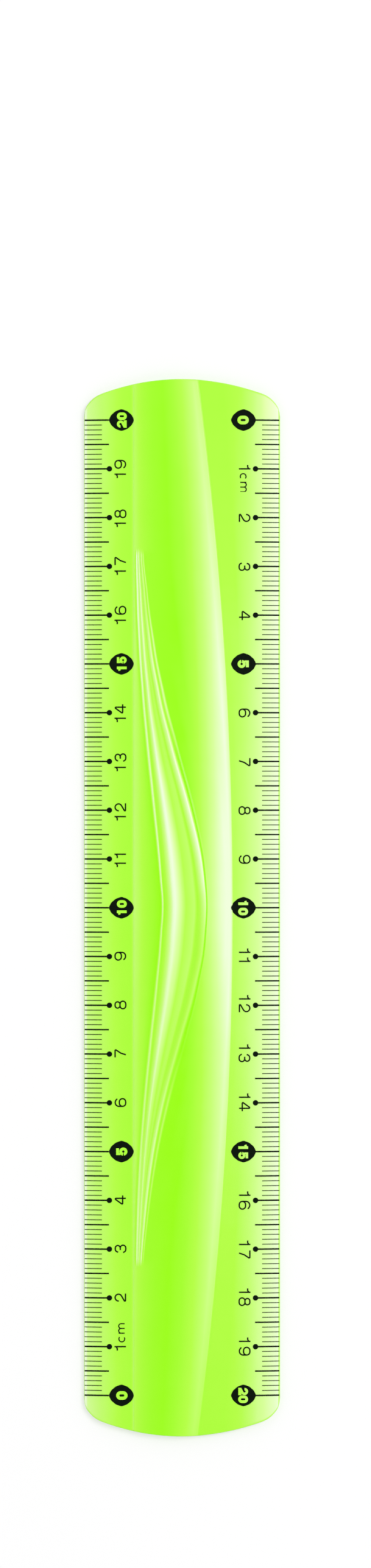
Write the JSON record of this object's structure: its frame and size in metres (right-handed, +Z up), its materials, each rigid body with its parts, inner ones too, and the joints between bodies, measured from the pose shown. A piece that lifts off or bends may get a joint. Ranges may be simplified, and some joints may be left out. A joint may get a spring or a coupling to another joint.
{
  "type": "flexible ruler",
  "caption": "Flat flexible plastic ruler with rounded ends, a moulded grip wave and a centimetre scale along both long edges.",
  "frame": {"origin": "centre of the underside, below the 10 cm mark, half way between the two long edges", "axes": "+Z up out of the printed face, +Y along the strip towards the end where the left-hand scale reads 20, +X across the strip towards the scale that reads 0 at that end"},
  "size_m": [0.0402, 0.217, 0.0024],
  "materials": {
    "lime_soft_pvc": "glossy soft moulded PVC, translucent lime green",
    "dark_green_ink": "satin screen-printing ink, a green that is almost black"
  },
  "bodies": {
    "strip_end_at_0": {"strip_end_at_0": "lime_soft_pvc"},
    "strip_00_to_01": {"strip_00_to_01": "lime_soft_pvc"},
    "strip_01_to_02": {"strip_01_to_02": "lime_soft_pvc"},
    "strip_02_to_03": {"strip_02_to_03": "lime_soft_pvc"},
    "strip_03_to_04": {"strip_03_to_04": "lime_soft_pvc"},
    "strip_04_to_05": {"strip_04_to_05": "lime_soft_pvc"},
    "strip_05_to_06": {"strip_05_to_06": "lime_soft_pvc"},
    "strip_06_to_07": {"strip_06_to_07": "lime_soft_pvc"},
    "strip_07_to_08": {"strip_07_to_08": "lime_soft_pvc"},
    "strip_08_to_09": {"strip_08_to_09": "lime_soft_pvc"},
    "strip_09_to_10": {"strip_09_to_10": "lime_soft_pvc"},
    "strip_10_to_11": {"strip_10_to_11": "lime_soft_pvc"},
    "strip_11_to_12": {"strip_11_to_12": "lime_soft_pvc"},
    "strip_12_to_13": {"strip_12_to_13": "lime_soft_pvc"},
    "strip_13_to_14": {"strip_13_to_14": "lime_soft_pvc"},
    "strip_14_to_15": {"strip_14_to_15": "lime_soft_pvc"},
    "strip_15_to_16": {"strip_15_to_16": "lime_soft_pvc"},
    "strip_16_to_17": {"strip_16_to_17": "lime_soft_pvc"},
    "strip_17_to_18": {"strip_17_to_18": "lime_soft_pvc"},
    "strip_18_to_19": {"strip_18_to_19": "lime_soft_pvc"},
    "strip_19_to_20": {"strip_19_to_20": "lime_soft_pvc"},
    "strip_end_at_20": {"strip_end_at_20": "lime_soft_pvc"}
  },
  "joints": [
    {"name": "cm00_bend", "type": "hinge", "parent": "strip_00_to_01", "child": "strip_end_at_0", "pos_m": [0, -0.0995, 0.00119], "axis": [-1, 0, 0], "range_deg": [-16, 16], "stiffness_Nm_per_rad": 0.05},
    {"name": "cm01_bend", "type": "hinge", "parent": "strip_01_to_02", "child": "strip_00_to_01", "pos_m": [0, -0.0895, 0.00119], "axis": [-1, 0, 0], "range_deg": [-16, 16], "stiffness_Nm_per_rad": 0.05},
    {"name": "cm02_twist", "type": "hinge", "parent": "strip_02_to_03", "child": "strip_01_to_02", "pos_m": [0, -0.0795, 0.00119], "axis": [0, -1, 0], "range_deg": [-10, 10], "stiffness_Nm_per_rad": 0.014},
    {"name": "cm03_bend", "type": "hinge", "parent": "strip_03_to_04", "child": "strip_02_to_03", "pos_m": [0, -0.0695, 0.00119], "axis": [-1, 0, 0], "range_deg": [-16, 16], "stiffness_Nm_per_rad": 0.05},
    {"name": "cm04_bend", "type": "hinge", "parent": "strip_04_to_05", "child": "strip_03_to_04", "pos_m": [0, -0.0595, 0.00119], "axis": [-1, 0, 0], "range_deg": [-16, 16], "stiffness_Nm_per_rad": 0.05},
    {"name": "cm05_bend", "type": "hinge", "parent": "strip_05_to_06", "child": "strip_04_to_05", "pos_m": [0, -0.0495, 0.00119], "axis": [-1, 0, 0], "range_deg": [-16, 16], "stiffness_Nm_per_rad": 0.05},
    {"name": "cm06_bend", "type": "hinge", "parent": "strip_06_to_07", "child": "strip_05_to_06", "pos_m": [0, -0.0395, 0.00119], "axis": [-1, 0, 0], "range_deg": [-16, 16], "stiffness_Nm_per_rad": 0.05},
    {"name": "cm07_twist", "type": "hinge", "parent": "strip_07_to_08", "child": "strip_06_to_07", "pos_m": [0, -0.0295, 0.00119], "axis": [0, -1, 0], "range_deg": [-10, 10], "stiffness_Nm_per_rad": 0.014},
    {"name": "cm08_bend", "type": "hinge", "parent": "strip_08_to_09", "child": "strip_07_to_08", "pos_m": [0, -0.0195, 0.00119], "axis": [-1, 0, 0], "range_deg": [-16, 16], "stiffness_Nm_per_rad": 0.05},
    {"name": "cm09_bend", "type": "hinge", "parent": "strip_09_to_10", "child": "strip_08_to_09", "pos_m": [0, -0.0095, 0.00119], "axis": [-1, 0, 0], "range_deg": [-16, 16], "stiffness_Nm_per_rad": 0.05},
    {"name": "cm10_bend", "type": "hinge", "parent": "strip_09_to_10", "child": "strip_10_to_11", "pos_m": [0, 0.0005, 0.00119], "axis": [1, 0, 0], "range_deg": [-16, 16], "stiffness_Nm_per_rad": 0.05},
    {"name": "cm11_bend", "type": "hinge", "parent": "strip_10_to_11", "child": "strip_11_to_12", "pos_m": [0, 0.0105, 0.00119], "axis": [1, 0, 0], "range_deg": [-16, 16], "stiffness_Nm_per_rad": 0.05},
    {"name": "cm12_twist", "type": "hinge", "parent": "strip_11_to_12", "child": "strip_12_to_13", "pos_m": [0, 0.0205, 0.00119], "axis": [0, 1, 0], "range_deg": [-10, 10], "stiffness_Nm_per_rad": 0.014},
    {"name": "cm13_bend", "type": "hinge", "parent": "strip_12_to_13", "child": "strip_13_to_14", "pos_m": [0, 0.0305, 0.00119], "axis": [1, 0, 0], "range_deg": [-16, 16], "stiffness_Nm_per_rad": 0.05},
    {"name": "cm14_bend", "type": "hinge", "parent": "strip_13_to_14", "child": "strip_14_to_15", "pos_m": [0, 0.0405, 0.00119], "axis": [1, 0, 0], "range_deg": [-16, 16], "stiffness_Nm_per_rad": 0.05},
    {"name": "cm15_bend", "type": "hinge", "parent": "strip_14_to_15", "child": "strip_15_to_16", "pos_m": [0, 0.0505, 0.00119], "axis": [1, 0, 0], "range_deg": [-16, 16], "stiffness_Nm_per_rad": 0.05},
    {"name": "cm16_bend", "type": "hinge", "parent": "strip_15_to_16", "child": "strip_16_to_17", "pos_m": [0, 0.0605, 0.00119], "axis": [1, 0, 0], "range_deg": [-16, 16], "stiffness_Nm_per_rad": 0.05},
    {"name": "cm17_twist", "type": "hinge", "parent": "strip_16_to_17", "child": "strip_17_to_18", "pos_m": [0, 0.0705, 0.00119], "axis": [0, 1, 0], "range_deg": [-10, 10], "stiffness_Nm_per_rad": 0.014},
    {"name": "cm18_bend", "type": "hinge", "parent": "strip_17_to_18", "child": "strip_18_to_19", "pos_m": [0, 0.0805, 0.00119], "axis": [1, 0, 0], "range_deg": [-16, 16], "stiffness_Nm_per_rad": 0.05},
    {"name": "cm19_bend", "type": "hinge", "parent": "strip_18_to_19", "child": "strip_19_to_20", "pos_m": [0, 0.0905, 0.00119], "axis": [1, 0, 0], "range_deg": [-16, 16], "stiffness_Nm_per_rad": 0.05},
    {"name": "cm20_bend", "type": "hinge", "parent": "strip_19_to_20", "child": "strip_end_at_20", "pos_m": [0, 0.1005, 0.00119], "axis": [1, 0, 0], "range_deg": [-16, 16], "stiffness_Nm_per_rad": 0.05}
  ]
}
